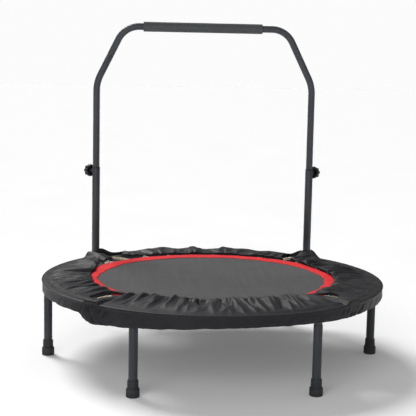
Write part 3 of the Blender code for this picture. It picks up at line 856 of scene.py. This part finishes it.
def edge_height(angle):
    """The sewn outer edge: pulled up beside the posts, lower at the front right, bumpy at the back."""
    lift = max(  # a tip outside and a slope inside each post, first at the left, then at the right
        0.0175 * facing(angle, 228.0, 3.4) ** 2,
        0.0200 * ease(angle, 215.5, 222.4) * (1 - ease(angle, 222.6, 224.0)),
        0.0170 * ease(angle, 136.5, 137.8) * (1 - ease(angle, 138.2, 144.0)),
        0.0240 * ease(angle, 129.5, 134.3) * (1 - ease(angle, 134.5, 135.6)))
    drop = 0.0015 * facing(angle, 26, 28)
    bumps = 0.0038 * facing(angle, 180, 60) * (0.7 + rough(angle, 9, 1.3) * 2)
    return max(EDGE_Z + lift - drop + bumps, clear_height(angle, COVER_R) + 0.0010)


def hem_place(angle):
    """Radius and height of the elastic hem: high and far in at the front, low and further out at the back."""
    back = facing(angle, 180, 75)
    gape = 0.042 * facing(angle, 226, 33) + 0.020 * facing(angle, 140, 22)  # springs show by the posts
    gape += 0.006 * facing(angle, -62, 20) - 0.008 * facing(angle, 50, 18) - 0.003 * facing(angle, 0, 40)
    radius = HEM_R + 0.034 * back + gape + 0.0045 * rough(angle, 6, 9.2)
    front = facing(angle, 0, 75)
    height = FOLD_Z + 0.0060 + 0.0075 * front + 0.0015 * rough(angle, 7, 5.5)
    height -= max(0.0035 * facing(angle, -51, 16), 0.0060 * facing(angle, 47, 10))
    return radius, height - 0.0035 * back


def slit_edge(joint, side, r):
    """How far a slit's edge stands back from its joint along the ring, on its low (-1) or high (1) side.

    The slits over the front hinges close again before the outer edge; the back ones stay open.
    """
    joint %= 360
    start = ease(r, 0.368, 0.402 if joint in (45, 315) else 0.430)
    if joint == 315:
        return 0.0001 + (0.064 if side < 0 else 0.004) * start * (1 - ease(r, 0.462, 0.488))
    if joint == 45:
        return 0.0001 + (0.003 if side < 0 else 0.048) * start * (1 - ease(r, 0.425, 0.462))
    beyond = ease(r, 0.450, 0.495)
    if (side < 0) == (joint == 135):
        return 0.0001 + 0.004 * start - (0.006 if joint == 225 else 0.0) * beyond
    if joint == 225:
        return 0.0001 + 0.066 * start + 0.036 * beyond
    return 0.0001 + 0.054 * start + 0.018 * beyond


def clear_height(angle, r):
    """The lowest that cloth can lie over the band, the springs, the tube and the hinges."""
    over_tube = RING_Z + math.sqrt(max(0.0, (TUBE_R + 0.0015) ** 2 - (r - RING_R) ** 2))
    over_hinge = RING_Z + 0.0250 * near_hinge(angle) * ease(r, 0.468, 0.478)
    over_springs = MAT_Z + 0.0032 if r < 0.486 else 0.0
    return max(over_tube, over_hinge, over_springs)


def lip_height(angle, r):
    """The lowest that a turned-down lip can reach, between the band and the tube."""
    deep = ease(r, 0.391, 0.396) * (1 - ease(r, 0.468, 0.476))
    return clear_height(angle, r) * (1 - deep) + 0.224 * deep


def pinch_valley(angle, s):
    """Pockets under the hem, widest near it and narrowing outwards, where the elastic draws the cloth in."""
    nearest = round(angle / PINCH_STEP)
    near = (nearest - 1, nearest, nearest + 1)
    # the sines of k vary the pockets' places, depths and widths
    distance, k = min((abs(angle - PINCH_STEP * k - 1.8 * math.sin(2.3 * k)), k) for k in near)
    strength = 0.75 + 0.25 * math.sin(5.1 * k)
    width = 0.4 + (2.5 + 0.7 * math.sin(3.7 * k)) * ease(s, 0.35, 0.95)
    run = ease(s, 0.35, 0.85) * (1 - 0.75 * ease(s, 0.91, 1.0))
    return strength * run * min(1.0, 1.8 * max(0.0, 1 - distance / width))


def gathers(angle, s):
    """Height of the folds: fine at the hem, broad further out, gone at the outer edge."""
    front = facing(angle, 0, 62)
    skew = angle + 7.0 * (s - 0.5) * rough(angle, 4, 2.2)
    broad = rough(skew, 9, 0.4, s * 0.9)
    ridges = 1 - 2.6 * abs(rough(skew, 13, 3.7, s * 0.8))
    fine = 1 - 2.6 * abs(rough(skew, 34, 7.9, s * 1.4))
    mask = ease(s, 0.04, 0.40)
    level = 1 - 0.6 * ease(s, 0.90, 1.0)
    folds = mask * level * (0.0060 * broad + 0.0066 * ridges + 0.0022 * fine * s)
    calm = 1 - 0.85 * max(facing(angle, -50, 13), facing(angle, 47, 10))
    return calm * (folds + mask * 0.0020 * front - (0.0045 + 0.0080 * front) * pinch_valley(angle, s))


def panel_point(joint_low, joint_high, angle, s):
    """A point of the cover's upper side: s runs from 0 at the outer edge to 1 at the hem."""
    hem_r, hem_z = hem_place(angle)
    r = COVER_R + 0.0003 + (hem_r - COVER_R) * s
    reach = 32.0 if joint_high == 225 else 24.0
    low = slit_edge(joint_low, 1, r) * max(0.0, 1 - (angle - joint_low) / reach) ** 2
    high = slit_edge(joint_high, -1, r) * max(0.0, 1 - (joint_high - angle) / reach) ** 2
    turned_angle = angle + math.degrees((low - high) / r)
    edge = edge_height(turned_angle)
    shoulder = 0.0021 * ease(s, 0.0, 0.07)
    z = edge + shoulder + (hem_z - edge - shoulder) * ease(s, 0.20, 0.95)
    z += gathers(turned_angle, s)
    wave = math.sin(math.radians(turned_angle) * 270 + 2 * rough(angle, 30, 8.8))
    crimp = 0.0012 * wave * ease(s, 0.90, 1.0)
    z = max(z, clear_height(turned_angle, r) + 0.0010)
    return radial(turned_angle, r + crimp, z)


def make_cover_top(name, panels, body, nodes):
    """Half of the cover's upper side. Its hem and the edges of its slits are turned down as lips."""
    verts, uvs, faces, gather, pins = [], [], [], [], []
    height = ROWS + 1 + LIP_ROWS
    for joint_low, joint_high in panels:
        columns = round((joint_high - joint_low) * COLUMNS_PER_DEGREE)
        first = len(verts)
        for i in range(-LIP_ROWS, columns + 1 + LIP_ROWS):
            angle = joint_low + (joint_high - joint_low) * min(max(i, 0), columns) / columns
            side_lip = max(-i, i - columns, 0) / LIP_ROWS
            for j in range(height):
                s = (min(j, ROWS) / ROWS) ** 0.9
                hem_lip = max(j - ROWS, 0) / LIP_ROWS
                spot = panel_point(joint_low, joint_high, angle, s)
                r = math.hypot(spot.x, spot.y)
                inward = 1 - ease(r, 0.470, 0.490)
                drop = max(hem_lip * LIP, side_lip * inward * SLIT_LIP)
                floor = lip_height(angle, r)
                tuck = 0.0003 * side_lip * (1 if i < 0 else -1)
                around = Matrix.Rotation(tuck / r, 3, "Z") @ spot
                outward = radial(angle, 0.0016 * math.sin(math.pi * hem_lip) + 0.0002 * hem_lip)
                around += outward
                around.z = max(spot.z - drop - 0.0003 * side_lip, min(floor, spot.z) - 0.0002 * side_lip)
                verts.append(around)
                v = s * (COVER_R - HEM_R) + 0.008 * hem_lip
                uvs.append((math.radians(angle) * COVER_R + 0.003 * side_lip, v))
                gather.append(ease(s, 0.1, 0.95))
                rim = r > RING_R - 0.002
                drawn_in = j == ROWS and pinch_valley(angle, 0.9) > 0.3
                pins.append(bool(rim or hem_lip or side_lip or drawn_in))
        faces += grid_faces(columns + 2 * LIP_ROWS, height - 1, first)
    top = mesh_object(name, verts, faces, COVER, uvs)
    buckle(top, gather, pins)
    thicken(top, 0.0007)
    place(top, body, *nodes)
    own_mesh(top)
    length, width = math.pi * COVER_R, COVER_R - HEM_R + LIP
    if body == "rear_frame":
        width -= REAR_NARROWER


def buckle(obj, gather, pins):
    """Let the cloth buckle: its rest size grows towards the hem, which the elastic holds in."""
    growing = obj.vertex_groups.new(name="gather")
    held = obj.vertex_groups.new(name="pins")
    for i, (growth, pinned) in enumerate(zip(gather, pins)):
        growing.add([i], growth, "REPLACE")
        if pinned:
            held.add([i], 1.0, "REPLACE")
    before = np.array([v.co for v in obj.data.vertices])
    modifier = obj.modifiers.new("cloth", "CLOTH")
    cloth = modifier.settings
    cloth.quality = 5
    cloth.mass = 0.15
    cloth.tension_stiffness = cloth.compression_stiffness = 8
    cloth.shear_stiffness = 4
    cloth.bending_stiffness = 0.05
    cloth.vertex_group_mass = "pins"
    cloth.vertex_group_shrink = "gather"
    cloth.shrink_min, cloth.shrink_max = 0.0, -BUCKLE_GROWTH
    cloth.effector_weights.gravity = 0
    modifier.collision_settings.use_collision = False
    scene = bpy.context.scene
    scene.frame_start, scene.frame_end = 1, BUCKLE_FRAMES
    for step in range(1, BUCKLE_FRAMES + 1):
        scene.frame_set(step)
    modified_mesh(obj)
    scene.frame_set(1)
    after = np.array([v.co for v in obj.data.vertices])
    final = before + np.clip(after - before, -BUCKLE_LIMIT, BUCKLE_LIMIT)
    for k, (x, y, z) in enumerate(final):
        if not pins[k]:
            angle = math.degrees(math.atan2(x, -y))
            final[k][2] = max(z, clear_height(angle, math.hypot(x, y)) + 0.0008)
    obj.data.vertices.foreach_set("co", final.astype(np.float32).ravel())
    obj.data.update()


def skirt_bottom(angle):
    """The skirt ends under the tube; at the front left its slack hangs lower."""
    a = turn_between(angle, 0)
    low = 0.0200 * ease(a, -51, -46) * (1 - ease(a, -42, 4)) + 0.0030 * bell(a, 38, 14)
    ruffle = 0.0010 * rough(angle, 22, 4.4) + 0.0016 * rough(angle, 11, 6.1)
    return RING_Z - TUBE_R - 0.0008 - low + ruffle * (1 + 60 * low)


def make_skirt():
    """The cover's outer side: down over the tube and turned in under it, one strip round the ring."""
    columns, rows = 360 * COLUMNS_PER_DEGREE, 18
    wall = 0.72
    verts, uvs, faces = [], [], []
    for i in range(columns):
        angle = 360 * i / columns
        top, bottom = edge_height(angle), skirt_bottom(angle)
        corner = facing(angle, -44, 9)
        slack = 0.50 + 2.8 * corner + 0.8 * facing(angle, 44, 12)
        slack += 0.6 * (facing(angle, 135, 12) + facing(angle, 225, 12)) + 1.2 * facing(angle, -26, 12)
        for j in range(rows + 1):
            t = j / rows
            down = min(1.0, t / wall)
            under = max(0.0, (t - wall) / (1 - wall))
            r = COVER_R + 0.0004 - 0.0016 * ease(down, 0.0, 0.15) - 0.018 * under
            z = top + (bottom - top) * down - 0.0022 * math.sin(math.pi * under)
            creases = 1 - 2.6 * abs(rough(angle + 4 * (down - 0.5), 34, 2.5, down * 0.7))
            creases += 0.8 * corner * (1 - 2.6 * abs(rough(angle - 3 * down, 52, 8.3, down * 1.1)))
            soft = rough(angle, 13, 6.5, down * 0.4)
            belly = math.sin(math.pi * min(1.0, 0.12 + t / 1.1)) if t < 1 else 0.0
            r += belly * (0.0014 * soft + slack * 0.0021 * creases * ease(down, 0.0, 0.4))
            r = max(r, HINGE_OUT + 0.0016) if near_hinge(angle) > 0.5 and z > RING_Z - 0.003 else r
            verts.append(radial(angle, r, z))
            uvs.append((math.radians(angle) * COVER_R, -0.045 * t))
    for i in range(columns):
        n = (i + 1) % columns
        for j in range(rows):
            here, there = i * (rows + 1) + j, n * (rows + 1) + j
            faces.append((here, here + 1, there + 1, there))
    skirt = mesh_object("cover_skirt", verts, faces, COVER, uvs)
    thicken(skirt, 0.0008)
    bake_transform(skirt)


def make_piping():
    """The sewn roll of cloth along the cover's outer edge, one length for each half of the frame."""
    step = 0.5
    for name, start, body in (("front", -45, "front_frame"), ("rear", 135, "rear_frame")):
        points = []
        for i in range(round(180 / step) + 1):
            angle = start + 0.03 + (180 - 0.06) * i * step / 180
            points.append(radial(angle, COVER_R + 0.0002, edge_height(angle) + 0.0002))
        roll = rod(f"cover_piping_{name}", points, 0.0013, 8, COVER)
        roll.data.uv_layers.new(name="UVMap")
        place(roll, body)


def make_cover():
    make_piping()
    make_cover_top("cover_top_front", ((-45, 45), (45, 135)), "front_frame", ("cover_front", "cover_right"))
    make_cover_top("cover_top_rear", ((135, 225), (225, 315)), "rear_frame", ("cover_back", "cover_left"))
    make_skirt()


# ---------------- studio
def make_world():
    """A white backdrop to the camera, and a weaker, even fill on the object."""
    world = bpy.data.worlds.new("studio")
    world.use_nodes = True
    tree = world.node_tree
    background = tree.nodes["Background"]
    background.inputs["Color"].default_value = (1.0, 1.0, 1.0, 1.0)
    rays = tree.nodes.new("ShaderNodeLightPath")
    strength = tree.nodes.new("ShaderNodeMapRange")
    strength.inputs["To Min"].default_value = 0.24
    strength.inputs["To Max"].default_value = 0.97
    tree.links.new(rays.outputs["Is Camera Ray"], strength.inputs["Value"])
    tree.links.new(strength.outputs["Result"], background.inputs["Strength"])
    bpy.context.scene.world = world


def add_light(name, kind, energy, toward):
    """A light that shines from the given direction."""
    light = bpy.data.lights.new(name, kind)
    light.energy = energy
    lamp = link(bpy.data.objects.new(name, light))
    lamp.rotation_euler = toward.to_track_quat("Z", "Y").to_euler()
    return lamp


def make_studio():
    """A white floor, two wide suns and a softbox at the front left."""
    surface = Surface("studio_floor", (0.86, 0.86, 0.86), 0.9, specular=0.1)
    surface.colour(surface.ramp(surface.noise(2.0, 2), (0.3, (0.95, 0.95, 0.95)), (0.7, (0.98, 0.98, 0.98))))
    surface.set("Emission Color", (1.0, 1.0, 1.0, 1.0))
    surface.set("Emission Strength", 0.10)
    half = 30.0
    corners = [(-half, -half, 0), (half, -half, 0), (half, half, 0), (-half, half, 0)]
    mesh_object("floor", corners, [(0, 1, 2, 3)], surface.material, smooth=False)
    make_world()
    suns = (("key", (-0.50, 0.75, 1.0), 2.55, 24), ("front", (-0.60, -1.0, 0.75), 0.42, 40))
    for name, toward, strength, spread in suns:
        add_light(name, "SUN", strength, Vector(toward)).data.angle = math.radians(spread)
    stand, middle = Vector((-1.1, -3.0, 1.6)), Vector((0, 0, 0.5))
    softbox = add_light("softbox", "AREA", 18, stand - middle)
    softbox.location = stand
    softbox.data.size = 1.6


def make_camera():
    """A little left of centre, below shoulder height, looking slightly down."""
    eye = (-0.3131, -3.3070, 0.9048)
    yaw, pitch, roll = 0.0891, 0.1356, 0.0200  # in radians
    ahead = Vector((math.sin(yaw) * math.cos(pitch), math.cos(yaw) * math.cos(pitch), -math.sin(pitch)))
    level = Vector((math.cos(yaw), -math.sin(yaw), 0))
    above = level.cross(ahead)
    right = level * math.cos(roll) + above * math.sin(roll)
    up = above * math.cos(roll) - level * math.sin(roll)
    data = bpy.data.cameras.new("camera")
    data.sensor_width = 36.0
    data.lens = 96.14
    camera = link(bpy.data.objects.new("camera", data))
    turn = Matrix((right, up, -ahead)).transposed().to_4x4()
    camera.matrix_world = Matrix.Translation(eye) @ turn
    bpy.context.scene.camera = camera


make_ring()
make_legs()
keep_hardware()
make_handle()
make_mat()
make_band()
make_webbing()
make_springs()
make_cover()
make_studio()
make_camera()
bpy.context.scene.view_settings.view_transform = "Standard"
